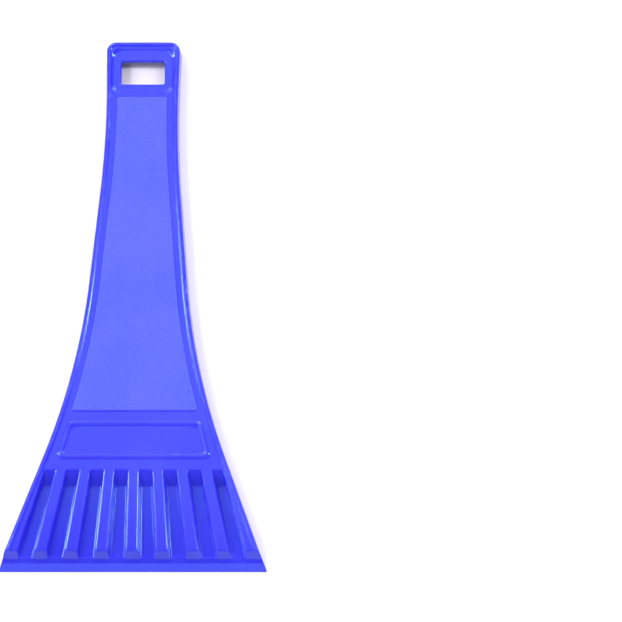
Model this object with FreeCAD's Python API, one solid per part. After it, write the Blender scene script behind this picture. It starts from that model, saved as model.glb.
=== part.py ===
import FreeCAD, Part
import math
import os

# Windshield ice scraper, injection moulded in one piece from coloured plastic.
# It lies on its open back: z = 0 is the plane of the back rim, +Z is the front face.
# The handle runs towards +Y, and x = 0 is its symmetry plane.
# Heights along y are counted from the scraping edge, and scraper() moves the finished body
# so that the origin is the middle of its length. All lengths are in millimetres.

Vector = FreeCAD.Vector
UP = Vector(0, 0, 1)

# Overall
LENGTH = 205.0
THICKNESS = 7.0
DRAFT_INSET = 0.25          # how far the outer wall leans in from the rim to the front face
OUTER_EDGE_RADIUS = 1.2     # rounding round the front face

# Outline: half widths and heights of its corners, and the radii that blend them
BLADE_HALF = 49.3
SHOULDER = (21.7, 74.2, 254.0)     # x, y, radius where the flared blade turns into the handle
NECK = (13.67, 164.7, 384.0)        # x, y, radius at the narrowest place of the handle
BUTT_HALF = 14.6
BUTT_CORNER_RADIUS = 4.0
INNER_CORNER_RADIUS = 2.0   # least radius of the same corners inside the walls
BEYOND_BLADE = -6.0         # the blocks that are cut to form the edge start here

# Working allowances, which leave no trace on the part
MARGIN = 1.0                # how far cutters and added pieces reach past their surfaces
CLOSE = 0.01                # tolerance for finding edges by their place

# Walls
FACE_Z = 6.6                # front face inside the border
FLOOR_Z = 4.8               # the back of the front wall, seen in the tray
RIM_WIDTH = 2.3
TRAY_LEAN = 0.3             # draft of the tray's walls over their height
TRAY_FILLET = 1.7

# Raised border of the front face, with a shallow step down inside it
BORDER_WIDTH = 1.7
BORDER_SLOPE = 0.4

# Textured grip panel on the handle
PANEL_INSET = 4.3
PANEL_Y = (58.8, 181.9)
PANEL_Z = 6.9
PANEL_CORNER_RADIUS = 1.2
PANEL_EDGE_RADIUS = 0.25

# Label frame: a narrow bead round a plain trapezoid
FRAME_Y = (40.8, 55.2)
FRAME_HALF = (28.7, 24.7)   # half widths at the two heights above
FRAME_CORNER_RADIUS = 2.6
FRAME_INNER_RADIUS = 0.6    # least radius of the same corners inside the bead
BEAD_WIDTH = 2.0
BEAD_Z = 7.0
BEAD_EDGE_RADIUS = 0.35

# Ribs and channels, which fan out towards the edge
RIB_COUNT = 7
FAN_Y = (5.5, 37.0)         # heights between which the fan's sizes are given
RIB_PITCH = (11.2, 8.9)
RIB_WIDTH = (4.4, 4.0)
CHANNELS_HALF = (42.2, 32.7)        # from x = 0 to the far side of the outermost channel
CHANNEL_Z = 2.8
CHANNEL_RAMP_Y = (31.2, 37.0)
CHANNEL_WALL_ANGLE = 10.0
CHANNEL_FILLET = 0.5
RIB_EDGE_RADIUS = 0.6

# Blade, as (y, z) down the front from the rib ends to the edge
BLADE_PROFILE = ((7.7, 7.0), (4.5, 2.6), (2.9, 1.6), (0.0, 0.5))

# Underside of the blade
LAND_WIDTH = 5.0            # flat strip behind the edge
STRIP_Z = 1.2               # underside of the channels
POCKET_HALF = (43.4, 32.4)  # half widths of the recess at its two ends
UNDER_RAMP_Y = (34.4, 38.5)
GROOVE_WIDTH = (3.9, 3.5)   # hollows inside the ribs, where they open
GROOVE_START_Y = (6.0, 8.1) # their sloping blade end, at the opening and at the roof
GROOVE_OVERRUN = 3.0        # how far they run on into the tray

# Hanging hole, in a dished field
HOLE_HALF = 8.4
HOLE_Y = (187.6, 196.8)
HOLE_CORNER_RADIUS = 0.9
HOLE_EDGE_RADIUS = 0.7
DISH_HALF = 12.6            # the field at the level of the front face
DISH_Y = (183.2, 202.8)
DISH_CORNER_RADIUS = 5.0
DISH_DEPTH = 0.8
DISH_SLOPE = 1.2            # how far the field's sides lean in over its depth
DISH_FILLET = 1.0

# Traces of the mould
EJECTOR_RADIUS = 2.6
EJECTOR_DEPTH = 0.15
EJECTOR_SPOTS = ((23.4, 44.2), (12.0, 100.8), (7.3, 154.6))
GATE_RADIUS = 0.9
GATE_LENGTH = 0.4
GATE_Z = 3.4
PIN_MARK_RADIUS = 0.6
PIN_MARK_HEIGHT = 0.25
PIN_MARK_Y = 50.5


def corner(before, at, after, radius):
    """Points where a corner's arc starts, its middle and its end."""
    into = (at - before).normalize()
    out = (after - at).normalize()
    turn = math.acos(max(-1.0, min(1.0, into.dot(out))))
    reach = radius * math.tan(turn / 2)
    start, end = at - into * reach, at + out * reach
    inward = (out - into).normalize()
    middle = at + inward * (radius / math.cos(turn / 2) - radius)
    return start, middle, end


def rounded_wire(points, z):
    """Closed wire through (x, y, radius) corners, with straight sides and tangent arcs.

    A corner of radius 0 stays sharp.
    """
    at = [Vector(x, y, z) for x, y, _ in points]
    count = len(points)
    arcs = [
        corner(at[i - 1], at[i], at[(i + 1) % count], points[i][2]) for i in range(count)
    ]
    edges = []
    for i, (start, middle, end) in enumerate(arcs):
        if points[i][2]:
            edges.append(Part.Arc(start, middle, end).toShape())
        edges.append(Part.makeLine(end, arcs[(i + 1) % count][0]))
    return Part.Wire(edges)


def prism(wire, height):
    """Solid above a flat wire."""
    return Part.Face(wire).extrude(UP * height)


def loft(lower, upper):
    """Solid with straight sides between two wires."""
    return Part.makeLoft([lower, upper], True, True)


def fillet_where(shape, radius, wanted):
    """Rounds the edges for which wanted(edge) holds."""
    edges = [edge for edge in shape.Edges if wanted(edge)]
    return shape.makeFillet(radius, edges)


def lies_at(z):
    """Test for an edge that lies flat at a height."""

    def test(edge):
        box = edge.BoundBox
        return abs(box.ZMin - z) < 1e-4 and abs(box.ZMax - z) < 1e-4

    return test


def outline_wire(inset, z, blade_y=0.0):
    """The outline moved in by inset at its sides and butt, with its blade side at blade_y."""
    right = [(BLADE_HALF, 0.0), SHOULDER[:2], NECK[:2], (BUTT_HALF, LENGTH)]
    moved = []
    for (x0, y0), (x1, y1) in zip(right[:-1], right[1:]):
        run = math.hypot(x1 - x0, y1 - y0)
        nx, ny = -(y1 - y0) / run, (x1 - x0) / run
        moved.append((x0 + nx * inset, y0 + ny * inset, x1 - x0, y1 - y0))

    def x_at(side, y):
        x, y0, dx, dy = side
        return x + (y - y0) * dx / dy

    def crossing(a, b):
        slope_a, slope_b = a[2] / a[3], b[2] / b[3]
        y = (x_at(b, 0) - x_at(a, 0)) / (slope_a - slope_b)
        return x_at(a, y), y

    flare, handle, butt = moved
    butt_y = LENGTH - inset
    side = [
        (x_at(flare, blade_y), blade_y, 0),
        (*crossing(flare, handle), SHOULDER[2] + inset),
        (*crossing(handle, butt), NECK[2] + inset),
        (x_at(butt, butt_y), butt_y, max(BUTT_CORNER_RADIUS - inset, INNER_CORNER_RADIUS)),
    ]
    return rounded_wire(side + [(-x, y, r) for x, y, r in reversed(side)], z)


def along_fan(values, y):
    """A size given at both heights of FAN_Y, at any height in line with them."""
    share = (y - FAN_Y[0]) / (FAN_Y[1] - FAN_Y[0])
    return values[0] + (values[1] - values[0]) * share


def fan_cell(left, right, lean, near, far, z):
    """Four-sided wire between two fanned lines; lean moves both sides outwards."""
    corners = [
        Vector(left(near) - lean, near, z),
        Vector(right(near) + lean, near, z),
        Vector(right(far) + lean, far, z),
        Vector(left(far) - lean, far, z),
    ]
    return Part.makePolygon(corners + corners[:1])


def outer_block():
    """The full outline as one block with rounded front edges, too long at the blade."""
    lower = outline_wire(0.0, 0.0, BEYOND_BLADE)
    upper = outline_wire(DRAFT_INSET, THICKNESS, BEYOND_BLADE)
    block = loft(lower, upper)

    def front_edge(edge):
        return lies_at(THICKNESS)(edge) and edge.BoundBox.YMax > BEYOND_BLADE + CLOSE

    return fillet_where(block, OUTER_EDGE_RADIUS, front_edge)


def border_recess():
    """What the step inside the raised border takes away, open towards the blade."""
    beyond = BEYOND_BLADE - MARGIN
    lower = outline_wire(BORDER_WIDTH + BORDER_SLOPE, FACE_Z, beyond)
    upper = outline_wire(BORDER_WIDTH, THICKNESS + CLOSE, beyond)
    return loft(lower, upper)


def channel(index):
    """Cutter for one channel between two ribs, with a ramp at its handle end."""

    def left(y):
        side = index * along_fan(RIB_PITCH, y) + along_fan(RIB_WIDTH, y) / 2
        return max(side, -along_fan(CHANNELS_HALF, y))

    def right(y):
        side = (index + 1) * along_fan(RIB_PITCH, y) - along_fan(RIB_WIDTH, y) / 2
        return min(side, along_fan(CHANNELS_HALF, y))

    slope = math.tan(math.radians(CHANNEL_WALL_ANGLE))
    rise = FACE_Z - CHANNEL_Z
    ramp_low, ramp_high = CHANNEL_RAMP_Y
    ramp_top = ramp_high + (ramp_high - ramp_low) * MARGIN / rise
    start = BEYOND_BLADE - MARGIN
    floor = fan_cell(left, right, -slope * rise, start, ramp_low, CHANNEL_Z)
    mouth = fan_cell(left, right, slope * MARGIN, start, ramp_top, FACE_Z + MARGIN)
    cutter = loft(floor, mouth)

    def floor_edge(edge):
        box = edge.BoundBox
        return box.ZMin < CHANNEL_Z + CLOSE and box.YMax > start + CLOSE

    return fillet_where(cutter, CHANNEL_FILLET, floor_edge)


def cut_channels(body):
    """Cuts the channels and rounds the edges of the ribs that they leave."""
    first = -(RIB_COUNT + 1) // 2
    cutters = [channel(first + i) for i in range(RIB_COUNT + 1)]
    body = body.cut(Part.makeCompound(cutters))

    def rib_edge(edge):
        box = edge.BoundBox
        leaves_the_end = box.YMax > BEYOND_BLADE + CLOSE
        return lies_at(FACE_Z)(edge) and leaves_the_end and box.YMax < CHANNEL_RAMP_Y[1] + CLOSE

    return fillet_where(body, RIB_EDGE_RADIUS, rib_edge)


def blade_cutter():
    """What lies in front of the sloping rib ends and the bevelled blade."""
    (high, top_z), (low, foot_z) = BLADE_PROFILE[:2]
    slope = (high - low) / (top_z - foot_z)
    top = top_z + MARGIN
    beyond = BEYOND_BLADE - MARGIN
    far = BLADE_HALF - beyond
    start = (high + slope * MARGIN, top)
    section = [start, *BLADE_PROFILE[1:], (0.0, -MARGIN), (beyond, -MARGIN), (beyond, top)]
    points = [Vector(-far, y, z) for y, z in section]
    face = Part.Face(Part.makePolygon(points + points[:1]))
    return face.extrude(Vector(2 * far, 0, 0))


def tray_cutter():
    """The hollow back of the handle, with filleted walls and a sloping blade end."""
    low, high = UNDER_RAMP_Y
    start = low - (high - low) * MARGIN / FLOOR_Z
    lower = outline_wire(RIM_WIDTH, -MARGIN, start)
    upper = outline_wire(RIM_WIDTH + TRAY_LEAN, FLOOR_Z, high)
    hollow = loft(lower, upper)
    return fillet_where(hollow, TRAY_FILLET, lies_at(FLOOR_Z))


def under_pocket():
    """The shallow recess behind the blade, up to the underside of the channels."""
    low, high = LAND_WIDTH, UNDER_RAMP_Y[1]
    near, far = POCKET_HALF
    corners = [(near, low), (far, high), (-far, high), (-near, low)]
    points = [Vector(x, y, -MARGIN) for x, y in corners]
    return prism(Part.makePolygon(points + points[:1]), STRIP_Z + MARGIN)


def groove(index):
    """Cutter for the hollow inside one rib, open to the back and to the tray."""

    def left(y):
        return index * along_fan(RIB_PITCH, y) - along_fan(GROOVE_WIDTH, y) / 2

    def right(y):
        return index * along_fan(RIB_PITCH, y) + along_fan(GROOVE_WIDTH, y) / 2

    slope = math.tan(math.radians(CHANNEL_WALL_ANGLE))
    rise = FLOOR_Z - STRIP_Z
    low, high = GROOVE_START_Y
    start = low - (high - low) * MARGIN / rise
    end = UNDER_RAMP_Y[1] + GROOVE_OVERRUN
    mouth = fan_cell(left, right, slope * MARGIN, start, end, STRIP_Z - MARGIN)
    roof = fan_cell(left, right, -slope * rise, high, end, FLOOR_Z)
    return loft(mouth, roof)


def hole_wire(half, heights, radius, z):
    """Rounded rectangle, symmetric about x = 0."""
    low, high = heights
    return rounded_wire(
        [(half, low, radius), (half, high, radius), (-half, high, radius), (-half, low, radius)], z
    )


def grip_panel():
    """The raised field on the handle that carries the texture."""
    low, high = PANEL_Y
    base = FLOOR_Z + MARGIN
    field = prism(outline_wire(PANEL_INSET, base), PANEL_Z - base)
    window = Part.makeBox(2 * BLADE_HALF, high - low, THICKNESS, Vector(-BLADE_HALF, low, 0))
    field = field.common(window)

    def upright_corner(edge):
        at_end = min(abs(edge.CenterOfMass.y - y) for y in PANEL_Y) < CLOSE
        return at_end and edge.BoundBox.ZLength > CLOSE

    field = fillet_where(field, PANEL_CORNER_RADIUS, upright_corner)
    return fillet_where(field, PANEL_EDGE_RADIUS, lies_at(PANEL_Z))


def frame_wire(inset, z):
    """The label frame's trapezoid, moved in by inset."""
    (low, high), (wide, narrow) = FRAME_Y, FRAME_HALF
    slope = (wide - narrow) / (high - low)
    shift = inset * math.hypot(1, slope)

    def half_at(y):
        return wide - (y - low) * slope - shift

    radius = max(FRAME_CORNER_RADIUS - inset, FRAME_INNER_RADIUS)
    low, high = low + inset, high - inset
    wide_now, narrow_now = half_at(low), half_at(high)
    return rounded_wire(
        [
            (wide_now, low, radius),
            (narrow_now, high, radius),
            (-narrow_now, high, radius),
            (-wide_now, low, radius),
        ],
        z,
    )


def label_frame():
    """The narrow raised bead."""
    base = FLOOR_Z + MARGIN
    height = BEAD_Z - base
    ring = prism(frame_wire(0, base), height).cut(prism(frame_wire(BEAD_WIDTH, base), height))
    return fillet_where(ring, BEAD_EDGE_RADIUS, lies_at(BEAD_Z))


def dish_back():
    """Steps the tray's floor down behind the dished field, so that the wall keeps its thickness."""
    wall = FACE_Z - FLOOR_Z
    base = FLOOR_Z - DISH_DEPTH
    near, far = DISH_Y[0] - wall / 2, LENGTH - RIM_WIDTH / 2
    half = NECK[0] - RIM_WIDTH / 2
    pad = Part.makeBox(2 * half, far - near, DISH_DEPTH + wall / 2, Vector(-half, near, base))

    def near_edge(edge):
        return lies_at(base)(edge) and edge.BoundBox.YMax < near + CLOSE

    return fillet_where(pad, DISH_FILLET, near_edge)


def round_dish_back(body):
    """Fillets the stepped floor against the tray's walls."""
    beyond_step = DISH_Y[0] + DISH_FILLET

    def foot(edge):
        return lies_at(FLOOR_Z - DISH_DEPTH)(edge) and edge.BoundBox.YMax > beyond_step

    return fillet_where(body, DISH_FILLET, foot)


def cut_hanging_hole(body):
    """Dishes the field round the hole, cuts the hole and rounds both edges."""
    bottom = FACE_Z - DISH_DEPTH

    def dish_wire(grow, z):
        low, high = DISH_Y
        return hole_wire(DISH_HALF + grow, (low - grow, high + grow), DISH_CORNER_RADIUS + grow, z)

    dish = loft(
        dish_wire(-DISH_SLOPE, bottom),
        dish_wire(DISH_SLOPE * MARGIN / DISH_DEPTH, FACE_Z + MARGIN),
    )
    dish = fillet_where(dish, DISH_FILLET, lies_at(bottom))
    body = body.cut(dish)
    hole = prism(
        hole_wire(HOLE_HALF, HOLE_Y, HOLE_CORNER_RADIUS, -MARGIN), THICKNESS + 2 * MARGIN
    )
    body = body.cut(hole)

    def hole_edge(edge):
        box = edge.BoundBox
        inside = box.YMin > HOLE_Y[0] - CLOSE and box.YMax < HOLE_Y[1] + CLOSE
        return lies_at(bottom)(edge) and inside and box.XMax < HOLE_HALF + CLOSE

    return fillet_where(body, HOLE_EDGE_RADIUS, hole_edge)


def mould_marks(body):
    """Ejector pin marks in the tray, and the two gate marks."""
    for x, y in EJECTOR_SPOTS:
        for side in (-1, 1):
            spot = Vector(side * x, y, FLOOR_Z - MARGIN)
            body = body.cut(Part.makeCylinder(EJECTOR_RADIUS, MARGIN + EJECTOR_DEPTH, spot))
    gate = Part.makeCylinder(
        GATE_RADIUS,
        MARGIN + GATE_LENGTH,
        Vector(0, LENGTH - MARGIN, GATE_Z),
        Vector(0, 1, 0),
    )
    mark = Part.makeCylinder(
        PIN_MARK_RADIUS,
        MARGIN + PIN_MARK_HEIGHT,
        Vector(0, PIN_MARK_Y, FLOOR_Z - PIN_MARK_HEIGHT),
    )
    return body.fuse([gate, mark])


def scraper():
    body = outer_block().cut(border_recess())
    body = cut_channels(body)
    body = body.cut(blade_cutter())
    under = [tray_cutter(), under_pocket()]
    half = RIB_COUNT // 2
    under += [groove(i) for i in range(-half, half + 1)]
    for cutter in under:
        body = body.cut(cutter)
    body = round_dish_back(body.fuse([grip_panel(), label_frame(), dish_back()]))
    body = mould_marks(cut_hanging_hole(body))
    body.translate(Vector(0, -(LENGTH + GATE_LENGTH) / 2, 0))
    return body


def main():
    os.makedirs("parts", exist_ok=True)
    body = scraper()
    solids = body.Solids
    print("solids", len(solids), "valid", body.isValid(), "volume cm3", round(body.Volume / 1000, 2))
    box = body.optimalBoundingBox()
    print("size", round(box.XLength, 2), round(box.YLength, 2), round(box.ZLength, 2))
    solids[0].exportStep("parts/scraper_body.step")


main()
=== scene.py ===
import math

import bmesh
import bpy
import numpy as np
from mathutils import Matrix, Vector


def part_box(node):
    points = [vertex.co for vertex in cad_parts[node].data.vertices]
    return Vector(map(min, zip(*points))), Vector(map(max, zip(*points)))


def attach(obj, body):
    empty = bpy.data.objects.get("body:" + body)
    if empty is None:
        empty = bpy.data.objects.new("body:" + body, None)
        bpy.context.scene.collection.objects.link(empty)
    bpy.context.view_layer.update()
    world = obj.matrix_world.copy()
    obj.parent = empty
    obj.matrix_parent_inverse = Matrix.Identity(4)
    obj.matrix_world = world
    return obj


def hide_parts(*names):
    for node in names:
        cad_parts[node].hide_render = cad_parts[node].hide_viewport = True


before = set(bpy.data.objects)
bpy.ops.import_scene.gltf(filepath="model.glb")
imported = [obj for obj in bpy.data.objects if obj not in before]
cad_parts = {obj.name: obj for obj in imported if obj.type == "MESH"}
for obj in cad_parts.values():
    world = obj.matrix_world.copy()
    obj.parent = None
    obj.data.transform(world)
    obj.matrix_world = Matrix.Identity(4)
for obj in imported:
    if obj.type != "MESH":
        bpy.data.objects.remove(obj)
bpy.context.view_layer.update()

# The looks of a one-piece windshield ice scraper. Its moulding is built again here as a finer
# mesh with the same sizes as the CAD solid, so that its rounded edges and hollows shade smoothly.

MM = 0.001
BODY = "root"
NODE = "scraper_body"

# ---------------------------------------------------------------- shape, in millimetres
# x = 0 is the symmetry plane, y counts from the scraping edge, z from the back rim.
LENGTH = 205.0
FRONT_Z = 7.0
FACE_Z = 6.6
FLOOR_Z = 4.8
STRIP_Z = 1.2
CHANNEL_Z = 2.8
PAD_Z = 4.0

# Outline
BLADE_HALF = 49.3
SHOULDER = (21.7, 74.2, 254.0)
NECK = (13.67, 164.7, 384.0)
BUTT_HALF = 14.6
BUTT_RADIUS = 4.0
INNER_RADIUS = 2.0
WALL_LEAN = 0.21
EDGE_RADIUS = 1.2

# Front
BORDER_FOOT = 2.1
BORDER_STEP = (0.4, 0.35, 0.3)      # run, radius at the foot and radius at the top, as all steps
PANEL_INSET = 4.3
PANEL_Y = (58.8, 181.9)
PANEL_RISE = 0.3
PANEL_RADIUS = 1.2
PANEL_STEP = (0.15, 0.15, 0.3)
FRAME_Y = (40.8, 55.2)
FRAME_HALF = (28.7, 24.7)
FRAME_RADIUS = 2.6
BEAD_WIDTH = 2.0
BEAD_RISE = 0.4
BEAD_STEP = (0.45, 0.3, 0.9)
DISH_HALF = 12.6
DISH_Y = (183.2, 202.8)
DISH_RADIUS = 5.0
DISH_DEPTH = 0.8
DISH_STEP = (1.2, 1.2, 0.8)
HOLE_HALF = 8.4
HOLE_Y = (187.6, 196.8)
HOLE_RADIUS = 0.9
HOLE_EDGE_RADIUS = 0.7
EDGE_ROUND = 0.15                   # radius of the scraping edge

# Ribs and channels
FAN_Y = (5.5, 37.0)
RIB_PITCH = (11.2, 8.9)
RIB_WIDTH = (4.4, 4.0)
CHANNELS_HALF = (42.2, 32.7)
CHANNELS_PER_SIDE = 4
RIBS_PER_SIDE = 3
WALL_SLOPE = math.tan(math.radians(10.0))
CHANNEL_ROUND = (0.5, 0.6)          # radii at a wall's foot and at the rib's edge
CHANNEL_CORNER = 0.4
RAMP_Y = (31.2, 37.0)
RAMP_ROUND = (0.3, 0.5)
RIB_END_ROUND = 0.7
BEVEL_ROUND = 0.2
BLADE_PROFILE = ((7.7, 7.0), (4.5, 2.6), (2.9, 1.6), (0.0, 0.5))

# Back
TRAY_FOOT = 2.6
TRAY_STEP = (0.25, 1.7, 0.25)
TRAY_START_Y = 38.5
TRAY_START_STEP = (4.14, 1.7, 0.4)
TRAY_CORNER = 0.6
PAD_Y = 182.55
PAD_STEP = (0.25, 0.9, 0.2)
PAD_CORNER = 0.7
POCKET_STEP = (0.1, 0.3, 0.2)
POCKET_HALF = (43.4, 32.4)
POCKET_Y = (5.0, 38.5)
GROOVE_WIDTH = (3.9, 3.5)
GROOVE_ROOF_Y = 8.1
GROOVE_END_STEP = (2.11, 0.4, 0.3)
GROOVE_ROUND = (0.5, 0.3)
GROOVE_CORNER = 0.5
RIM_ROUND = 0.2
SHALLOW = 0.2                       # below this height the back counts as its rim
DEEP = 1.0                          # above this height it counts as the pocket's inside

# Traces of the mould
EJECTOR_RADIUS = 2.6
EJECTOR_DEPTH = 0.15
EJECTOR_SPOTS = ((23.4, 44.2), (12.0, 100.8), (7.3, 154.6))
PIN_MARK_RADIUS = 0.6
PIN_MARK_HEIGHT = 0.25
PIN_MARK_Y = 50.5
GATE_RADIUS = 0.9
GATE_LENGTH = 0.4
GATE_BEVEL = 0.06
GATE_Z = 3.4


def along(values, heights, y):
    """A size given at two heights, at any height in line with them."""
    return values[0] + (values[1] - values[0]) * (y - heights[0]) / (heights[1] - heights[0])


def outline_half(y):
    """Half width of the outline at height y, and the cosine of its slope there."""
    corners = [(BLADE_HALF, 0.0), SHOULDER[:2], NECK[:2], (BUTT_HALF, LENGTH)]
    slopes = [(b[0] - a[0]) / (b[1] - a[1]) for a, b in zip(corners[:-1], corners[1:])]
    y = np.asarray(y, float)
    half = BLADE_HALF + slopes[0] * y
    slope = np.full_like(half, slopes[0])
    for (x0, y0, radius), before, after in zip((SHOULDER, NECK), slopes[:-1], slopes[1:]):
        into, out = math.atan(before), math.atan(after)
        reach = radius * math.tan(abs(out - into) / 2)
        start, end = y0 - reach * math.cos(into), y0 + reach * math.cos(out)
        centre_x = x0 - reach * math.sin(into) + radius * math.cos(into)
        dy = y - (start - radius * math.sin(into))
        across = np.sqrt(np.maximum(radius ** 2 - dy ** 2, 1e-6))
        on_arc = (y > start) & (y < end)
        half = np.where(on_arc, centre_x - across, half)
        slope = np.where(on_arc, dy / across, slope)
        half = np.where(y >= end, x0 + after * (y - y0), half)
        slope = np.where(y >= end, after, slope)
    return half, 1 / np.sqrt(1 + slope ** 2)


def step(u, rise, run, foot_radius, top_radius):
    """Height of a sloping step, rounded at foot and top; u counts outwards from its foot."""
    u = np.asarray(u, float)
    angle = math.atan2(rise, run)
    foot = foot_radius * math.tan(angle / 2)
    top = top_radius * math.tan(angle / 2)
    wall = -u * (rise / run)
    foot_arc = foot_radius - np.sqrt(np.maximum(foot_radius ** 2 - (foot - u) ** 2, 0))
    over = u + run + top
    top_arc = rise - top_radius + np.sqrt(np.maximum(top_radius ** 2 - over ** 2, 0))
    z = np.where(u > -foot * math.cos(angle), foot_arc, wall)
    z = np.where(u < -run + top * math.cos(angle), top_arc, z)
    z = np.where(u > foot, 0.0, z)
    return np.where(over < 0, rise, z)


def smooth_min(a, b, k):
    """The lower of two heights, blended where they differ by less than k."""
    h = np.maximum(k - np.abs(a - b), 0) / k
    return np.minimum(a, b) - h * h * k / 4


def smooth_max(a, b, k):
    """The higher of two heights, blended in the same way."""
    return -smooth_min(-a, -b, k)


def join_steps(a, b, k):
    """The higher of two steps that rise from the same floor, blended where they meet."""
    return smooth_max(a, b, np.minimum(k, np.minimum(a, b)) + 1e-6)


def inside_corner(a, b, radius):
    """How far inside two sides a point lies, when their corner is rounded."""
    p, q = radius - a, radius - b
    outside = np.hypot(np.maximum(p, 0), np.maximum(q, 0))
    return radius - outside - np.minimum(np.maximum(p, q), 0)


def inside_box(x, y, half, heights, radius):
    """How far inside an upright rectangle with rounded corners a point lies."""
    sides = half - np.abs(x)
    ends = np.minimum(y - heights[0], heights[1] - y)
    return inside_corner(sides, ends, radius)


def inside_frame(x, y):
    """How far inside the label frame's trapezoid a point lies."""
    (low, high), (wide, narrow) = FRAME_Y, FRAME_HALF
    slope = (wide - narrow) / (high - low)
    side = (wide - (y - low) * slope - np.abs(x)) / math.hypot(1, slope)
    return inside_corner(side, np.minimum(y - low, high - y), FRAME_RADIUS)


def channel_height(x, y):
    """Height of the ribbed zone: rib tops, channel walls, floors and ramps."""
    rise = FACE_Z - CHANNEL_Z
    run = rise * WALL_SLOPE
    ramp = step(RAMP_Y[0] - y, rise, RAMP_Y[1] - RAMP_Y[0], *RAMP_ROUND)
    pitch, width = along(RIB_PITCH, FAN_Y, y), along(RIB_WIDTH, FAN_Y, y)
    height = np.full_like(x, rise)
    for index in range(CHANNELS_PER_SIDE):
        left = index * pitch + width / 2 + run
        right = (index + 1) * pitch - width / 2 - run
        if index == CHANNELS_PER_SIDE - 1:
            right = along(CHANNELS_HALF, FAN_Y, y) - run
        wall = step(np.minimum(np.abs(x) - left, right - np.abs(x)), rise, run, *CHANNEL_ROUND)
        height = np.minimum(height, join_steps(wall, ramp, CHANNEL_CORNER))
    return np.where(y > RAMP_Y[1] + RAMP_ROUND[0], rise, np.minimum(height, rise)) + CHANNEL_Z


def blade_height(y):
    """Height of the rib ends, the bevels and the edge."""
    height = None
    for (y1, z1), (y0, z0) in zip(BLADE_PROFILE[:-1], BLADE_PROFILE[1:]):
        plane = z0 + (y - y0) * (z1 - z0) / (y1 - y0)
        height = plane if height is None else smooth_max(height, plane, BEVEL_ROUND)
    return height


def front_height(x, y, d):
    """Height of the front; d is how far inside the outline's sides and butt a point lies."""
    z = FACE_Z + step(d - BORDER_FOOT, FRONT_Z - FACE_Z, *BORDER_STEP)
    fall = np.maximum(EDGE_RADIUS + WALL_LEAN - d, 0)
    z = z - EDGE_RADIUS + np.sqrt(np.maximum(EDGE_RADIUS ** 2 - fall ** 2, 0))

    ends = np.minimum(y - PANEL_Y[0], PANEL_Y[1] - y)
    panel = inside_corner(d - PANEL_INSET, ends, PANEL_RADIUS)
    z = z + step(-panel, PANEL_RISE, *PANEL_STEP)

    framed = inside_frame(x, y)
    bead = np.minimum(framed, BEAD_WIDTH - framed)
    z = z + step(-bead, BEAD_RISE, *BEAD_STEP)

    dished = inside_box(x, y, DISH_HALF, DISH_Y, DISH_RADIUS)
    z = z - DISH_DEPTH + step(dished - DISH_STEP[0], DISH_DEPTH, *DISH_STEP)
    off_hole = -inside_box(x, y, HOLE_HALF, HOLE_Y, HOLE_RADIUS)
    fall = np.clip(HOLE_EDGE_RADIUS - off_hole, 0, HOLE_EDGE_RADIUS)
    z = z - HOLE_EDGE_RADIUS + np.sqrt(HOLE_EDGE_RADIUS ** 2 - fall ** 2)

    z = z - FACE_Z + channel_height(x, y)
    z = smooth_min(z, blade_height(y), RIB_END_ROUND)
    edge = np.clip(EDGE_ROUND - y, 0, EDGE_ROUND)
    return z - EDGE_ROUND + np.sqrt(EDGE_ROUND ** 2 - edge ** 2)


def groove_height(x, y):
    """How far the hollows inside the ribs rise above the strips between them."""
    rise = FLOOR_Z - STRIP_Z
    run = rise * WALL_SLOPE
    pitch = along(RIB_PITCH, FAN_Y, y)
    roof = along(GROOVE_WIDTH, FAN_Y, y) / 2 - run
    near = step(y - GROOVE_ROOF_Y, rise, *GROOVE_END_STEP)
    height = np.zeros_like(x)
    for index in range(RIBS_PER_SIDE + 1):
        side = step(roof - np.abs(np.abs(x) - index * pitch), rise, run, *GROOVE_ROUND)
        height = np.maximum(height, rise - join_steps(side, near, GROOVE_CORNER))
    return np.maximum(height, 0)


def back_height(x, y, d):
    """Height of the back, which is 0 on the rim and higher in its hollows."""
    side = step(d - TRAY_FOOT, FLOOR_Z, *TRAY_STEP)
    near = step(y - TRAY_START_Y, FLOOR_Z, *TRAY_START_STEP)
    rise = FLOOR_Z - PAD_Z
    pad = rise - step(y - PAD_Y, rise, *PAD_STEP)
    tray = FLOOR_Z - join_steps(join_steps(side, near, TRAY_CORNER), pad, PAD_CORNER)

    inside = np.minimum(along(POCKET_HALF, POCKET_Y, y) - np.abs(x), y - POCKET_Y[0])
    pocket = STRIP_Z - step(inside - POCKET_STEP[0], STRIP_Z, *POCKET_STEP)
    pocket = np.where(y < POCKET_Y[1], pocket + groove_height(x, y) * (pocket > DEEP), 0)
    deeper = np.maximum(pocket, tray)
    z = np.maximum(smooth_max(pocket, tray, SHALLOW) * (deeper > SHALLOW), deeper)

    outer = np.clip(RIM_ROUND - np.minimum(d, y), 0, RIM_ROUND)
    z = z + (RIM_ROUND - np.sqrt(RIM_ROUND ** 2 - outer ** 2)) * (z < SHALLOW)
    off_hole = -inside_box(x, y, HOLE_HALF, HOLE_Y, HOLE_RADIUS)
    fall = np.clip(RIM_ROUND - off_hole, 0, RIM_ROUND)
    return z + np.where(off_hole < RIM_ROUND, RIM_ROUND - np.sqrt(RIM_ROUND ** 2 - fall ** 2), 0)


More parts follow.
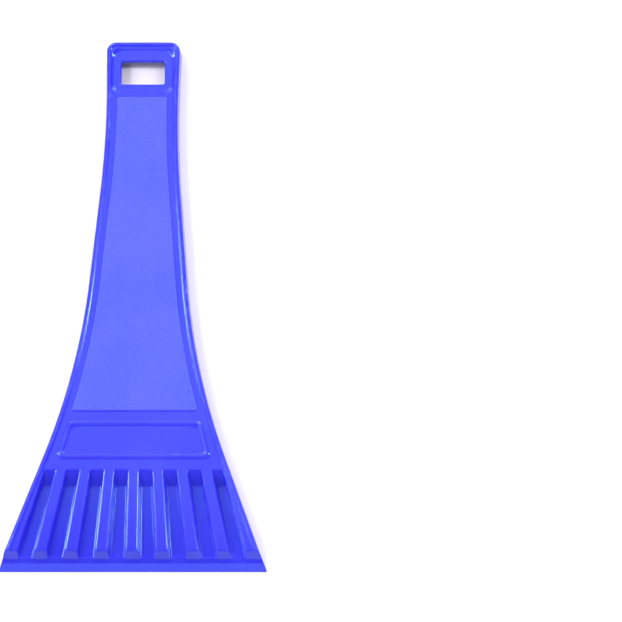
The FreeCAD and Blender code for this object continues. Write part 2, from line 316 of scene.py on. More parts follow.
# ---------------------------------------------------------------- lattices of the fine mesh
# Each face of the moulding is covered by two lattices: one under the fan of ribs and one along
# the handle. Columns run along the tool and follow its features; a flat strip joins the two.
FAN_END_Y = 39.4
HANDLE_START_Y = 40.4
FRONT_EDGE = (0.21, 0.236, 0.32, 0.46, 0.67, 0.92, 1.2, 1.41, 1.65, 1.78, 1.92, 2.05, 2.2)
BACK_EDGE = (0, 0.06, 0.2, 0.7, 1.4, 2.0, 2.15, 2.25, 2.32, 2.4, 2.5, 2.6, 2.75, 2.95, 3.2, 3.5,
             3.85, 4.2, 4.5)
BEAD_ACROSS = (-0.2, -0.1, 0.0, 0.1, 0.25, 0.4, 0.55, 0.75, 1.0, 1.25, 1.45, 1.6, 1.75, 1.9, 2.0,
               2.1, 2.2)
PANEL_EDGE = (3.0, 3.6, 4.1, 4.2, 4.28, 4.34, 4.4, 4.48, 4.58, 4.7, 5.0)
CHANNEL_WALL = (-1.28, -1.17, -1.06, -0.94, -0.84, -0.75, -0.68, -0.63, -0.33, -0.07, 0.0, 0.06,
                0.14, 0.24, 0.36, 0.5)
GROOVE_WALL = (0.45, 0.3, 0.2, 0.1, 0.02, -0.06, -0.3, -0.56, -0.62, -0.7, -0.8, -0.95, -1.15)
POCKET_EDGE = (0.3, 0.15, 0.05, -0.02, -0.06, -0.1, -0.15, -0.22, -0.3, -0.42, -0.6, -0.9, -1.4)
HOLE_COLUMNS = (0, 1, 2, 3, 4, 5, 6, 6.8, 7.2, 7.5, 7.8, 8.05, 8.25, 8.4)
HOLE_SIDE = (8.43, 8.5, 8.6, 8.72)
DISH_SIDE = (9.1, 9.5, 9.9, 10.3, 10.6, 10.8, 10.95, 11.1, 11.22, 11.34, 11.46, 11.57, 11.67, 11.76)
WALL_RINGS = 5
FAN_ROW_GAP = 2.6
HANDLE_ROW_GAP = 3.0
LEAST_ROW_GAP = 0.015
LEAST_COLUMN_GAP = 0.008
POCKET_TO_TRAY_Y = (34.5, 38.0)     # heights between which columns change features
FRAME_TO_PANEL_Y = (55.8, 58.0)
PANEL_TO_HOLE_Y = (160.0, 178.0)
PANEL_TO_DISH_Y = (182.15, 182.95)
TRAY_TO_HOLE_Y = (168.0, 181.0)


def fill(stations, widest):
    """Sorted stations with more put evenly into the gaps that are too wide."""
    stations = sorted(set(round(s, 4) for s in stations))
    out = [stations[0]]
    for s in stations[1:]:
        if s - out[-1] < LEAST_ROW_GAP:
            continue
        count = math.ceil((s - out[-1]) / widest - 1e-6)
        out += list(np.linspace(out[-1], s, count + 1)[1:])
    return np.array(out)


def fan_rows():
    """Heights of the rows from the edge to the ramps, closest where the surface bends."""
    rows = [0, 0.03, 0.08, 0.15, 0.3]
    for y, _ in BLADE_PROFILE[1:3]:
        rows += [y + t for t in (-0.2, -0.1, 0, 0.1, 0.2)]
    rows += [POCKET_Y[0] + t for t in (-0.15, -0.05, 0, 0.06, 0.12, 0.25, 0.5)]
    rows += [GROOVE_ROOF_Y + 0.2 * i for i in range(-12, 2)]
    rows += [GROOVE_ROOF_Y + t for t in (0.3, 0.5, 0.8)]
    rows += [RAMP_Y[0] + t for t in (-0.6, -0.3, -0.1, 0.1, 0.3)]
    rows += [RAMP_Y[1] + t for t in (-0.4, -0.2, -0.05, 0.05, 0.15, 0.3, 0.6)]
    rows += [TRAY_START_Y + t for t in (-4.5, -4.1, -3.7, -3.3, -3.1, -2.9, -2.6)]
    rows += [TRAY_START_Y + t for t in (-0.6, -0.3, 0, 0.3, 0.6, 0.85)]
    return fill(rows + [FAN_END_Y], FAN_ROW_GAP)


def handle_rows():
    """Heights of the rows along the handle, closest at the frame, panel, dish, hole and butt."""
    rows = [HANDLE_START_Y]
    for t in BEAD_ACROSS + (1.4, 1.6, 1.8):
        rows += [FRAME_Y[0] + t, FRAME_Y[1] - t]
    for t in (-0.4, -0.1, 0, 0.04, 0.09, 0.16, 0.26, 0.35, 0.55, 0.8, 1.0, 1.2, 1.5):
        rows += [PANEL_Y[0] + t, PANEL_Y[1] - t]
    rows += [PAD_Y - 0.35 + 0.12 * i for i in range(8)]
    for t in (-0.4, -0.2, -0.05, 0.1, 0.25, 0.4, 0.55, 0.7, 0.85, 1.0, 1.15, 1.3, 1.45, 1.65):
        rows += [DISH_Y[0] + t, DISH_Y[1] - t]
    rows += [DISH_Y[0] + 1.7 + 0.28 * i for i in range(8)]
    rows += [HOLE_Y[1] + 0.9 + 0.28 * i for i in range(9)]
    for t in (-0.7, -0.4, -0.22, -0.1, -0.03, 0, 0.15, 0.35, 0.6, 0.9, 1.2):
        rows += [HOLE_Y[0] + t, HOLE_Y[1] - t]
    rows += [LENGTH - d for d in BACK_EDGE[5:]] + [LENGTH - d for d in FRONT_EDGE[3:]]
    rows += [y + 0.8 * i for _, y in EJECTOR_SPOTS for i in range(-4, 5)]
    rows += [PIN_MARK_Y + 0.45 * i for i in range(-3, 4)]
    return fill(rows, HANDLE_ROW_GAP)


def with_last(rows, last):
    """The shared rows and the last three beside the butt, which differ on front and back."""
    return np.append(rows, [LENGTH - d for d in last])


def keep_in_order(columns):
    """Moves columns inwards where a feature would push them past the next one."""
    for j in range(columns.shape[1] - 2, 0, -1):
        columns[:, j] = np.minimum(columns[:, j], columns[:, j + 1] - LEAST_COLUMN_GAP)
    return columns


def edge_columns(y, insets):
    """Columns at these distances inside the outline, in order outwards."""
    half, cosine = outline_half(y)
    return [half - d / cosine for d in reversed(insets)]


def spread(start, end, count):
    """Evenly spaced columns between two, without the two themselves."""
    return [start + (end - start) * (i + 1) / (count + 1) for i in range(count)]


def ease(y, start, end):
    """0 up to the start, 1 from the end on, and in line between."""
    return np.clip((y - start) / (end - start), 0, 1)


def fan_front_columns(y):
    """Columns of the right half of the front below the frame, along the channels' walls."""
    pitch, width = along(RIB_PITCH, FAN_Y, y), along(RIB_WIDTH, FAN_Y, y)
    run = (FACE_Z - CHANNEL_Z) * WALL_SLOPE
    edge = edge_columns(y, FRONT_EDGE)
    columns = [y * 0, width / 4]
    for index in range(CHANNELS_PER_SIDE):
        foot = index * pitch + width / 2 + run
        far_foot = (index + 1) * pitch - width / 2 - run
        if index == CHANNELS_PER_SIDE - 1:
            far_foot = along(CHANNELS_HALF, FAN_Y, y) - run
        if index:
            columns += spread(columns[-1], foot + CHANNEL_WALL[0], 3)
        columns += [foot + u for u in CHANNEL_WALL]
        columns += spread(columns[-1], far_foot - CHANNEL_WALL[-1], 3)
        columns += [far_foot - u for u in reversed(CHANNEL_WALL)]
    columns += spread(columns[-1], edge[0], 3)
    return keep_in_order(np.stack(columns + edge, 1))


def fan_back_columns(y):
    """Columns of the right half of the back below the tray, along the grooves' walls."""
    pitch = along(RIB_PITCH, FAN_Y, y)
    roof = along(GROOVE_WIDTH, FAN_Y, y) / 2 - (FLOOR_Z - STRIP_Z) * WALL_SLOPE
    edge = edge_columns(y, BACK_EDGE)
    pocket = along(POCKET_HALF, POCKET_Y, y)
    share = ease(y, *POCKET_TO_TRAY_Y)
    for i, u in enumerate(reversed(POCKET_EDGE)):
        edge[i] = (pocket + u) * (1 - share) + edge[i] * share
    columns = [y * 0, (roof - GROOVE_WALL[0]) / 2]
    for index in range(RIBS_PER_SIDE + 1):
        centre = index * pitch
        if index:
            columns += spread(columns[-1], centre - roof + GROOVE_WALL[-1], 8)
            columns += [centre - roof + u for u in reversed(GROOVE_WALL)]
            columns += spread(columns[-1], centre + roof - GROOVE_WALL[0], 5)
        columns += [centre + roof - u for u in GROOVE_WALL]
    columns += spread(columns[-1], edge[0], 16)
    return keep_in_order(np.stack(columns + edge, 1))


def handle_front_columns(y):
    """Columns of the right half of the front, along the frame, the panel and the dish in turn."""
    edge = edge_columns(y, FRONT_EDGE)
    slope = (FRAME_HALF[0] - FRAME_HALF[1]) / (FRAME_Y[1] - FRAME_Y[0])
    framed = FRAME_HALF[0] - (y - FRAME_Y[0]) * slope
    bead = [framed - t * math.hypot(1, slope) for t in reversed(BEAD_ACROSS)]
    inner = len(HOLE_COLUMNS + HOLE_SIDE + DISH_SIDE)
    count = inner - len(bead) - 3 - 1
    beside_frame = [y * 0] + spread(y * 0, bead[0], count) + bead + spread(bead[-1], edge[0], 3)
    panel = edge_columns(y, PANEL_EDGE)
    core = HOLE_COLUMNS + HOLE_SIDE
    share = ease(y, *PANEL_TO_HOLE_Y)
    scale = (panel[0] - 0.4) / core[-1] * (1 - share) + share
    core = [x * scale for x in core]
    beside_panel = core + spread(core[-1], panel[0], inner - len(core) - len(panel)) + panel
    beside_dish = core + [y * 0 + x for x in DISH_SIDE]
    on_panel, on_dish = ease(y, *FRAME_TO_PANEL_Y), ease(y, *PANEL_TO_DISH_Y)
    columns = []
    for a, b, c in zip(beside_frame, beside_panel, beside_dish):
        x = a * (1 - on_panel) + b * on_panel
        columns.append(x * (1 - on_dish) + c * on_dish)
    return keep_in_order(np.stack(columns + edge, 1))


def handle_back_columns(y):
    """Columns of the right half of the back, along the tray and the hole in turn."""
    edge = edge_columns(y, BACK_EDGE)
    inner = len(HOLE_COLUMNS + HOLE_SIDE + DISH_SIDE + FRONT_EDGE) - len(edge)
    beside_tray = [y * 0] + spread(y * 0, edge[0], inner - 1)
    fixed = [y * 0 + x for x in HOLE_COLUMNS + HOLE_SIDE[:-1]]
    beside_hole = fixed + spread(fixed[-1], edge[0], inner - len(fixed))
    on_hole = ease(y, *TRAY_TO_HOLE_Y)
    columns = [a * (1 - on_hole) + b * on_hole for a, b in zip(beside_tray, beside_hole)]
    return keep_in_order(np.stack(columns + edge, 1))


def round_butt(x, y):
    """Bends the lattice round the butt's corners; also gives the distance from the outline."""
    half, cosine = outline_half(y)
    side, end = (half - np.abs(x)) * cosine, LENGTH - y
    ring, beyond = np.minimum(side, end), np.abs(side - end)
    reach = TRAY_FOOT + INNER_RADIUS
    radius = np.maximum(np.maximum(BUTT_RADIUS - ring, np.minimum(INNER_RADIUS, reach - ring)), 1e-9)
    angle = math.pi / 4 * (1 - np.minimum(beyond / radius, 1))
    bent = beyond < radius
    near = ring + radius * (1 - np.cos(angle))
    far = ring + radius * (1 - np.sin(angle))
    new_side = np.where(bent, np.where(side < end, near, far), side)
    new_end = np.where(bent, np.where(side < end, far, near), end)
    new_y = LENGTH - new_end
    half, cosine = outline_half(new_y)
    new_x = np.where(bent, np.sign(x) * (half - new_side / cosine), x)
    return new_x, np.where(bent, new_y, y), ring


def round_hole(x, y):
    """Bends the lattice round the corners of the hanging hole."""
    middle = sum(HOLE_Y) / 2
    corner_x = HOLE_HALF - HOLE_RADIUS
    corner_y = (HOLE_Y[1] - HOLE_Y[0]) / 2 - HOLE_RADIUS
    a, b = np.abs(x) - corner_x, np.abs(y - middle) - corner_y
    ring = np.maximum(np.maximum(a, b), 1e-9)
    angle = math.pi / 4 * np.minimum(a, b) / ring
    weight = np.clip(1 - (ring - HOLE_RADIUS) / 2.0, 0, 1) * (a > 0) * (b > 0)
    near, far = ring * np.cos(angle), ring * np.sin(angle)
    new_a = np.where(a > b, near, far)
    new_b = np.where(a > b, far, near)
    x = x + np.sign(x) * weight * (new_a - a)
    return x, y + np.sign(y - middle) * weight * (new_b - b)


def lattice(rows, half_columns, height):
    """Vertices of one lattice as an array of rows, columns and x, y, z."""
    half = half_columns(rows)
    x = np.concatenate([-half[:, :0:-1], half], 1)
    y = np.repeat(rows[:, None], x.shape[1], 1)
    x, y, inset = round_butt(x, y)
    x, y = round_hole(x, y)
    z = height(x, y, inset)
    return np.stack([x, y, z], 2)


# ---------------------------------------------------------------- the mesh from the lattices
class Surface:
    """Collects the vertices and faces of one mesh."""

    def __init__(self):
        self.blocks = []
        self.faces = []
        self.count = 0

    def add(self, points):
        """Adds an array of points and returns their numbers in the same arrangement."""
        shape = points.shape[:-1]
        size = int(np.prod(shape))
        self.blocks.append(points.reshape(-1, 3))
        self.count += size
        return np.arange(self.count - size, self.count).reshape(shape)

    def quads(self, numbers, keep=None):
        """Quads between neighbouring rows and columns of an arrangement of numbers."""
        cells = np.stack([numbers[:-1, :-1], numbers[:-1, 1:], numbers[1:, 1:], numbers[1:, :-1]], 2)
        if keep is not None:
            cells = cells[keep]
        self.faces += cells.reshape(-1, 4).tolist()

    def zipper(self, lower, upper, lower_x, upper_x):
        """Triangles between two rows with different counts of points."""
        i = j = 0
        while i + j < len(lower) + len(upper) - 2:
            upper_done = j == len(upper) - 1
            if upper_done or (i < len(lower) - 1 and lower_x[i + 1] <= upper_x[j + 1]):
                self.faces.append([lower[i], lower[i + 1], upper[j]])
                i += 1
            else:
                self.faces.append([lower[i], upper[j + 1], upper[j]])
                j += 1


def block_round(u, v, spot, reach):
    """The smallest block of lattice cells that holds a circle, as first and last row and column."""
    middle = v.shape[1] // 2
    first = np.flatnonzero(v[:, middle] < spot[1] - reach)[-1]
    last = np.flatnonzero(v[:, middle] > spot[1] + reach)[0]
    left = np.flatnonzero(u[first:last + 1].max(0) < spot[0] - reach)[-1]
    right = np.flatnonzero(u[first:last + 1].min(0) > spot[0] + reach)[0]
    return first, last, left, right


def block_loop(numbers, block):
    """What an arrangement holds along the border of a block, in order round it."""
    first, last, left, right = block
    return np.concatenate([
        numbers[first, left:right],
        numbers[first:last, right],
        numbers[last, left + 1:right + 1][::-1],
        numbers[first + 1:last + 1, left][::-1],
    ])


def outside_blocks(numbers, blocks):
    """Which cells of a lattice lie outside all the blocks."""
    keep = np.ones((numbers.shape[0] - 1, numbers.shape[1] - 1), bool)
    for first, last, left, right in blocks:
        keep[first:last, left:right] = False
    return keep


def add_mark(surface, loop, points, spot, profile, place):
    """A round mark in a block of cells: rings inwards from the block, closed by a fan.

    place(u, v, level) gives the points at a level, or on the surface itself for None.
    """
    across = points - np.array(spot)
    across /= np.linalg.norm(across, axis=1, keepdims=True)
    rings = [loop]
    for radius, level in profile:
        u, v = (spot + across * radius).T
        rings.append(surface.add(place(u, v, level)))
    rings = np.stack(rings)
    surface.quads(np.concatenate([rings, rings[:, :1]], 1))
    u, v = np.array(spot).reshape(2, 1)
    centre = int(surface.add(place(u, v, profile[-1][1]))[0])
    last = rings[-1].tolist()
    surface.faces += [[a, b, centre] for a, b in zip(last, last[1:] + last[:1])]


def on_back(x, y, level):
    """Points on the back, or at a level in the tray."""
    half, cosine = outline_half(y)
    z = back_height(x, y, (half - np.abs(x)) * cosine) if level is None else level + x * 0
    return np.stack([x, y, z], 1)


def on_butt(x, z, level):
    """Points on the butt's end wall, or at a level along the tool."""
    y = LENGTH - WALL_LEAN * z / (FRONT_Z - EDGE_RADIUS) if level is None else level + x * 0
    return np.stack([x, y, z], 1)


def add_back_marks(surface, numbers, points, spots):
    """Ejector marks and the pin mark in the tray's floor; returns their blocks of cells."""
    blocks = []
    for spot, radius, depth in spots:
        block = block_round(points[..., 0], points[..., 1], spot, radius + 0.2)
        loop = block_loop(numbers, block)
        flat = block_loop(points[..., :2], block)
        level = FLOOR_Z + depth
        profile = (
            (radius + 0.12, None),
            (radius + 0.03, None),
            (radius, FLOOR_Z + depth * 0.2),
            (radius - 0.03, FLOOR_Z + depth * 0.8),
            (radius - 0.08, level),
            (radius * 0.7, level),
            (radius * 0.35, level),
        )
        add_mark(surface, loop, flat, spot, profile, on_back)
        blocks.append(block)
    return blocks


def add_side(surface, fan, handle, edge_count, hole, spots):
    """Faces of the front or the back: both lattices, the strip between them and the hole."""
    low, high = surface.add(fan), surface.add(handle)
    surface.quads(low)
    blocks = add_back_marks(surface, high, handle, spots)
    surface.quads(high, outside_blocks(high, [hole] + blocks))
    for columns in (slice(0, edge_count), slice(-edge_count, None)):
        surface.quads(np.stack([low[-1, columns], high[0, columns]]))
    inner = slice(edge_count - 1, -(edge_count - 1))
    surface.zipper(low[-1, inner], high[0, inner], fan[-1, inner, 0], handle[0, inner, 0])
    return low, high


def outer_loop(low, high):
    """Numbers round the outline of one side, from the edge's left corner."""
    left, right = [np.concatenate([low[:, c], high[:, c]]) for c in (0, -1)]
    return np.concatenate([low[0, :-1], right[:-1], high[-1, ::-1][:-1], left[::-1][:-1]])


def add_wall(surface, points, front, back, gate=None):
    """A wall of quads between a loop on the front and the same loop on the back.

    gate is the place of the cut-off gate on it, as x and z.
    """
    rings, places = [front], [points[front]]
    for i in range(1, WALL_RINGS + 1):
        share = i / (WALL_RINGS + 1)
        places.append(points[front] * (1 - share) + points[back] * share)
        rings.append(surface.add(places[-1]))
    rings, places = np.stack(rings + [back]), np.stack(places + [points[back]])
    rings = np.concatenate([rings, rings[:, :1]], 1)
    blocks = []
    if gate:
        butt = np.flatnonzero(points[back][:, 1] > LENGTH - 0.01)
        columns = slice(butt[0], butt[-1] + 1)
        x, z = places[:, columns, 0], places[:, columns, 2]
        block = block_round(-x, -z, (-gate[0], -gate[1]), GATE_RADIUS + 0.1)
        loop = block_loop(rings[:, columns], block)
        flat = block_loop(np.stack([x, z], 2), block)
        end = LENGTH + GATE_LENGTH
        profile = (
            (GATE_RADIUS + 0.05, None),
            (GATE_RADIUS, end - 0.35),
            (GATE_RADIUS, end - GATE_BEVEL),
            (GATE_RADIUS - GATE_BEVEL, end),
            (GATE_RADIUS * 0.5, end),
        )
        add_mark(surface, loop, flat, gate, profile, on_butt)
        first, last, left, right = block
        blocks = [(first, last, left + butt[0], right + butt[0])]
    surface.quads(rings, outside_blocks(rings, blocks))


def scraper_mesh():
    """Vertices, in millimetres, and faces of the whole moulding."""
    fan, handle = fan_rows(), handle_rows()
    middle = len(HOLE_COLUMNS + HOLE_SIDE + DISH_SIDE + FRONT_EDGE) - 1
    reach = len(HOLE_COLUMNS) - 1
    first, last = [int(np.argmin(np.abs(handle - y))) for y in HOLE_Y]
    hole = (first, last, middle - reach, middle + reach)

    front_fan = lattice(fan, fan_front_columns, front_height)
    front_handle = lattice(with_last(handle, FRONT_EDGE[2::-1]), handle_front_columns, front_height)
    back_fan = lattice(fan, fan_back_columns, back_height)
    back_handle = lattice(with_last(handle, BACK_EDGE[2::-1]), handle_back_columns, back_height)
    for column in (0, -1):
        height = front_fan[:, column, 2]
        lean = WALL_LEAN * (1 - height / (FRONT_Z - EDGE_RADIUS))
        front_fan[:, column, 0] += np.sign(front_fan[:, column, 0]) * lean

    surface = Surface()
    marks = [((0.0, PIN_MARK_Y), PIN_MARK_RADIUS, -PIN_MARK_HEIGHT)]
    for x, y in EJECTOR_SPOTS:
        marks += [((side * x, y), EJECTOR_RADIUS, EJECTOR_DEPTH) for side in (-1, 1)]
    front = add_side(surface, front_fan, front_handle, len(FRONT_EDGE), hole, [])
    back = add_side(surface, back_fan, back_handle, len(BACK_EDGE), hole, marks)
    points = np.concatenate(surface.blocks)
    add_wall(surface, points, outer_loop(*front), outer_loop(*back), (0.0, GATE_Z))
    add_wall(surface, points, block_loop(front[1], hole), block_loop(back[1], hole))
    return np.concatenate(surface.blocks), surface.faces


# ---------------------------------------------------------------- looks, in metres
# Camera, in front of the blade and high above it
LENS = 97.4
SENSOR = 36.0
ELEVATION = 77.0
CAMERA_DISTANCE = 0.6398
LOOK_AT = (0.0654, -0.00436, 0.0)

# Plastic. Noise scales count waves per metre.
PLASTIC_IOR = 1.5
SUBSURFACE = 0.12
SUBSURFACE_RADIUS = (0.2, 0.15, 1.0)
SUBSURFACE_SCALE = 0.002
GLOSS = (0.1, 0.17, 0.0000025)      # least and greatest roughness, and height of the grain
SATIN = (0.24, 0.34, 0.000008)
WAVINESS = (70, 0.00003)            # scale and height of the moulding's low waves
PANEL_WAVINESS = (60, 0.00004)
GRAIN_SCALE = 1600
SCRATCH_DEPTH = 0.000002
PANEL_PIT_SCALE = 1900
PANEL_GRAIN_SCALE = 3200
PANEL_RELIEF = 0.00006
PANEL_MOTTLE = (1100, 0.00003)
PANEL_ROUGHNESS = (0.52, 0.44)      # untouched, and where hands have polished it
EDGE_POINTINESS = (0.505, 0.56)
WEAR_TINT, WEAR_DULLNESS = 0.35, 0.2            # how much wear and scratches change the colour,
SCRATCH_TINT, SCRATCH_DULLNESS = 0.1, 0.15      # and how much they add to the roughness
SHARP_ANGLE = 50.0
BACK_FACING = -0.3                  # the upward part of a face's normal below which it is the back

REFLECTION_TINT = (0.52, 0.9, 1.0)
DEEP_BLUE = (0.021, 0.016, 0.48)
BRIGHT_BLUE = (0.026, 0.021, 0.53)
RUBBED_BLUE = (0.12, 0.13, 0.66)
PANEL_BLUE = (0.036, 0.035, 0.55)
PANEL_PALE = (0.043, 0.042, 0.58)
PANEL_LIGHT = (0.075, 0.08, 0.64)

# Studio: a pale floor, an even surrounding that is brighter at the horizon, and softboxes
FLOOR_SIZE = 4.0
FLOOR_COLOUR = (0.66, 0.6, 0.65)
LIGHT_COLOUR = (0.92, 0.97, 1.0)
WORLD_STRENGTH = 0.38
HORIZON_STRENGTH = 0.95
HORIZON_FADE = (0.13, 0.28)         # heights of the view's direction between which it fades
LIGHTS = (                          # name, place, size and power
    ("overhead", (0.0, 1.1, 2.3), (3.7, 2.0), 34.0),
    ("back", (0.0, 2.3, 1.0), (3.7, 1.0), 26.0),
    ("front", (0.0, -1.65, 1.65), (2.9, 0.6), 9.0),
    ("left", (-2.0, 0.35, 1.65), (0.3, 2.4), 76.0),
    ("upper_left", (-1.0, 1.85, 1.2), (0.6, 0.6), 19.0),
    ("upper_right", (1.0, 1.85, 1.2), (0.7, 0.7), 24.0),
    ("high_left", (-1.2, -0.33, 2.0), (0.4, 0.4), 12.0),
    ("right", (2.1, 0.25, 1.75), (0.26, 2.4), 62.0),
)


def scraper():
    """The visible moulding, in metres, where the CAD solid is."""
    vertices, faces = scraper_mesh()
    low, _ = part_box(NODE)
    vertices = vertices * MM + np.array([0, low.y, low.z])
    mesh = bpy.data.meshes.new("scraper")
    mesh.from_pydata(vertices.tolist(), [], faces)
    mesh.validate()
    obj = bpy.data.objects.new("scraper", mesh)
    bpy.context.scene.collection.objects.link(obj)
    work = bmesh.new()
    work.from_mesh(mesh)
    bmesh.ops.recalc_face_normals(work, faces=work.faces)
    work.to_mesh(mesh)
    work.free()
    mesh.polygons.foreach_set("use_smooth", [True] * len(mesh.polygons))
    mesh.set_sharp_from_angle(angle=math.radians(SHARP_ANGLE))
    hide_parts(NODE)
    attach(obj, BODY)
    return obj


def nodes_of(name):
    """A new material with its node tree and shader."""
    material = bpy.data.materials.new(name)
    material.use_nodes = True
    tree = material.node_tree
    return material, tree, tree.nodes["Principled BSDF"]


def plastic_base(shader):
    """What every surface of the coloured plastic has in common."""
    shader.inputs["IOR"].default_value = PLASTIC_IOR
    shader.inputs["Specular Tint"].default_value = (*REFLECTION_TINT, 1)
    shader.inputs["Subsurface Weight"].default_value = SUBSURFACE
    shader.inputs["Subsurface Radius"].default_value = SUBSURFACE_RADIUS
    shader.inputs["Subsurface Scale"].default_value = SUBSURFACE_SCALE


def noise(tree, scale, detail, stretch=(1, 1, 1), turn=0.0):
    """Noise in the object's own coordinates, with scale counted per metre."""
    place = tree.nodes.new("ShaderNodeTexCoord")
    mapping = tree.nodes.new("ShaderNodeMapping")
    mapping.inputs["Scale"].default_value = stretch
    mapping.inputs["Rotation"].default_value = (0, 0, turn)
    texture = tree.nodes.new("ShaderNodeTexNoise")
    texture.inputs["Scale"].default_value = scale
    texture.inputs["Detail"].default_value = detail
    tree.links.new(place.outputs["Object"], mapping.inputs["Vector"])
    tree.links.new(mapping.outputs["Vector"], texture.inputs["Vector"])
    return texture.outputs["Fac"]


def span(tree, value, low, high, to_low=0.0, to_high=1.0):
    """A value carried from one range to another, and held at its ends."""
    node = tree.nodes.new("ShaderNodeMapRange")
    for name, number in zip(("From Min", "From Max", "To Min", "To Max"), (low, high, to_low, to_high)):
        node.inputs[name].default_value = number
    tree.links.new(value, node.inputs["Value"])
    return node.outputs["Result"]


def combine(tree, operation, a, b):
    """Arithmetic on two values, each a number or a link; a sum is held between 0 and 1."""
    node = tree.nodes.new("ShaderNodeMath")
    node.operation = operation
    node.use_clamp = operation == "ADD"
    for value, socket in zip((a, b), node.inputs):
        if isinstance(value, float):
            socket.default_value = value
        else:
            tree.links.new(value, socket)
    return node.outputs["Value"]


def blend(tree, share, a, b):
    """Colour a, or colour b where the share is 1; either may be a colour or a link."""
    node = tree.nodes.new("ShaderNodeMix")
    node.data_type = "RGBA"
    tree.links.new(share, node.inputs["Factor"])
    for value, socket in zip((a, b), (node.inputs[6], node.inputs[7])):
        if isinstance(value, tuple):
            socket.default_value = (*value, 1)
        else:
            tree.links.new(value, socket)
    return node.outputs[2]


def bump(tree, height, distance, below=None):
    """Relief of a height, in metres, on top of the relief below it."""
    node = tree.nodes.new("ShaderNodeBump")
    node.inputs["Distance"].default_value = distance
    tree.links.new(height, node.inputs["Height"])
    if below:
        tree.links.new(below, node.inputs["Normal"])
    return node.outputs["Normal"]


def edge_wear(tree):
    """How far the surface is rubbed: high on convex edges, in uneven patches."""
    geometry = tree.nodes.new("ShaderNodeNewGeometry")
    edge = span(tree, geometry.outputs["Pointiness"], *EDGE_POINTINESS)
    patches = span(tree, noise(tree, 220, 4), 0.42, 0.68)
    return combine(tree, "MULTIPLY", edge, patches)


def scratches(tree):
    """Hairline scratches from use, mostly along the tool and a few askew."""
    along = span(tree, noise(tree, 1, 2, (2600, 45, 2600), 0.12), 0.66, 0.72)
    askew = span(tree, noise(tree, 1, 2, (2200, 60, 2200), -0.7), 0.7, 0.75)
    worn = span(tree, noise(tree, 35, 2), 0.45, 0.65)
    return combine(tree, "MULTIPLY", combine(tree, "MAXIMUM", along, askew), worn)


def smooth_plastic(name, smooth, dull, grain):
    """Moulded plastic as polished as the given roughness, with the given grain height."""
    material, tree, shader = nodes_of(name)
    plastic_base(shader)
    wear = edge_wear(tree)
    lines = scratches(tree)
    clouds = span(tree, noise(tree, 28, 3), 0.35, 0.65)
    colour = blend(tree, clouds, DEEP_BLUE, BRIGHT_BLUE)
    colour = blend(tree, combine(tree, "MULTIPLY", wear, WEAR_TINT), colour, RUBBED_BLUE)
    colour = blend(tree, combine(tree, "MULTIPLY", lines, SCRATCH_TINT), colour, RUBBED_BLUE)
    tree.links.new(colour, shader.inputs["Base Color"])
    haze = span(tree, noise(tree, 90, 5), 0.35, 0.7, smooth, dull)
    worn = combine(tree, "MULTIPLY", wear, WEAR_DULLNESS)
    marks = combine(tree, "MAXIMUM", worn, combine(tree, "MULTIPLY", lines, SCRATCH_DULLNESS))
    tree.links.new(combine(tree, "ADD", haze, marks), shader.inputs["Roughness"])
    normal = bump(tree, noise(tree, WAVINESS[0], 1), WAVINESS[1])
    normal = bump(tree, noise(tree, GRAIN_SCALE, 3), grain, normal)
    normal = bump(tree, combine(tree, "SUBTRACT", 1.0, lines), SCRATCH_DEPTH, normal)
    tree.links.new(normal, shader.inputs["Normal"])
    return material


def panel_plastic():
    """The grip panel: the even, matt grain that a spark-eroded mould leaves."""
    material, tree, shader = nodes_of("blue_texture")
    plastic_base(shader)
    cells = tree.nodes.new("ShaderNodeTexVoronoi")
    cells.inputs["Scale"].default_value = PANEL_PIT_SCALE
    place = tree.nodes.new("ShaderNodeTexCoord")
    tree.links.new(place.outputs["Object"], cells.inputs["Vector"])
    pits = span(tree, cells.outputs["Distance"], 0.15, 0.75)
    fine = noise(tree, PANEL_GRAIN_SCALE, 4)
    mottle = noise(tree, PANEL_MOTTLE[0], 2)
    pits, fine = combine(tree, "MULTIPLY", pits, 0.5), combine(tree, "MULTIPLY", fine, 0.5)
    relief = combine(tree, "ADD", pits, fine)
    normal = bump(tree, noise(tree, PANEL_WAVINESS[0], 1), PANEL_WAVINESS[1])
    normal = bump(tree, mottle, PANEL_MOTTLE[1], normal)
    tree.links.new(bump(tree, relief, PANEL_RELIEF, normal), shader.inputs["Normal"])
    handled = span(tree, noise(tree, 45, 4), 0.42, 0.62)
    colour = blend(tree, handled, PANEL_BLUE, PANEL_PALE)
    colour = blend(tree, span(tree, mottle, 0.4, 0.65, 0.0, 0.22), colour, PANEL_LIGHT)
    tree.links.new(colour, shader.inputs["Base Color"])
    tree.links.new(span(tree, handled, 0.0, 1.0, *PANEL_ROUGHNESS), shader.inputs["Roughness"])
    return material


def give_materials(obj):
    """Gives each face its material: 0 for gloss, 1 on the grip panel and 2 on the back."""
    low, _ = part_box(NODE)
    mesh = obj.data
    centre = np.empty(len(mesh.polygons) * 3)
    mesh.polygons.foreach_get("center", centre)
    x, y, z = centre.reshape(-1, 3).T / MM
    y = y - low.y / MM
    half, cosine = outline_half(y)
    ends = np.minimum(y - PANEL_Y[0], PANEL_Y[1] - y)
    inside = inside_corner((half - np.abs(x)) * cosine - PANEL_INSET, ends, PANEL_RADIUS)
    on_panel = (inside > 0.1) & (z > FACE_Z)
    normal = np.empty(len(mesh.polygons) * 3)
    mesh.polygons.foreach_get("normal", normal)
    on_back = normal[2::3] < BACK_FACING
    mesh.polygons.foreach_set("material_index", on_panel * 1 + on_back * 2)


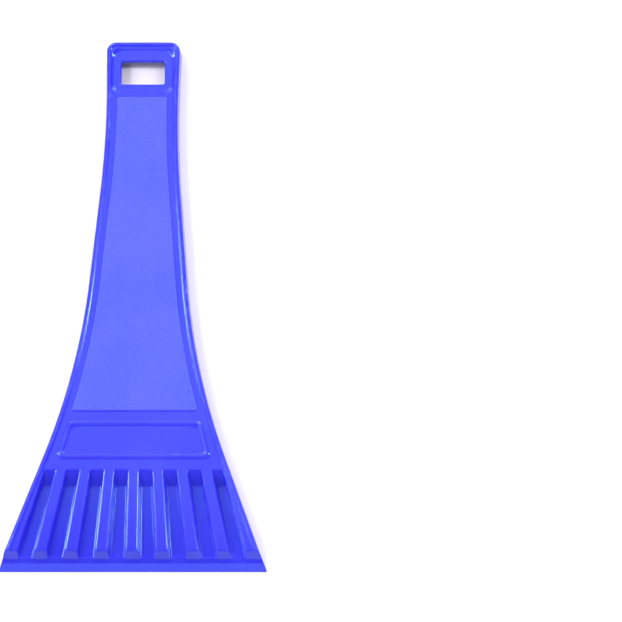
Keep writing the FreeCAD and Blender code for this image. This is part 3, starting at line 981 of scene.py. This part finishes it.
def camera():
    """A camera at the viewing angle, which sees the scraper at the left of the picture."""
    data = bpy.data.cameras.new("camera")
    data.lens = LENS
    data.sensor_width = SENSOR
    data.clip_start = 0.01
    obj = bpy.data.objects.new("camera", data)
    bpy.context.scene.collection.objects.link(obj)
    tilt = math.radians(ELEVATION)
    away = Vector((0, -math.cos(tilt), math.sin(tilt)))
    obj.location = Vector(LOOK_AT) + away * CAMERA_DISTANCE
    obj.rotation_euler = (math.radians(90) - tilt, 0, 0)
    bpy.context.scene.camera = obj


def area_light(name, location, size, power):
    """A softbox that faces the scraper."""
    data = bpy.data.lights.new(name, "AREA")
    data.shape = "RECTANGLE"
    data.size, data.size_y = size
    data.energy = power
    data.color = LIGHT_COLOUR
    obj = bpy.data.objects.new(name, data)
    bpy.context.scene.collection.objects.link(obj)
    obj.location = location
    obj.rotation_euler = (-Vector(location)).to_track_quat("-Z", "Y").to_euler()


def floor():
    """A pale floor on the plane that the scraper lies on."""
    low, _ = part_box(NODE)
    mesh = bpy.data.meshes.new("floor")
    half = FLOOR_SIZE / 2
    corners = [(x * half, y * half, low.z) for x, y in ((-1, -1), (1, -1), (1, 1), (-1, 1))]
    mesh.from_pydata(corners, [], [(0, 1, 2, 3)])
    obj = bpy.data.objects.new("floor", mesh)
    bpy.context.scene.collection.objects.link(obj)
    material, _, shader = nodes_of("floor")
    shader.inputs["Base Color"].default_value = (*FLOOR_COLOUR, 1)
    shader.inputs["Roughness"].default_value = 0.6
    shader.inputs["Specular IOR Level"].default_value = 0.2
    mesh.materials.append(material)


def surroundings():
    """Even light from all round, brighter near the horizon."""
    world = bpy.data.worlds.new("world")
    bpy.context.scene.world = world
    world.use_nodes = True
    tree = world.node_tree
    background = tree.nodes["Background"]
    background.inputs["Color"].default_value = (*LIGHT_COLOUR, 1)
    direction = tree.nodes.new("ShaderNodeTexCoord")
    split = tree.nodes.new("ShaderNodeSeparateXYZ")
    tree.links.new(direction.outputs["Generated"], split.inputs["Vector"])
    strength = span(tree, split.outputs["Z"], *HORIZON_FADE, HORIZON_STRENGTH, WORLD_STRENGTH)
    tree.links.new(strength, background.inputs["Strength"])


camera()
floor()
surroundings()
for light in LIGHTS:
    area_light(*light)
piece = scraper()
piece.data.materials.append(smooth_plastic("blue_gloss", *GLOSS))
piece.data.materials.append(panel_plastic())
piece.data.materials.append(smooth_plastic("blue_satin", *SATIN))
give_materials(piece)
bpy.context.scene.view_settings.view_transform = "Standard"
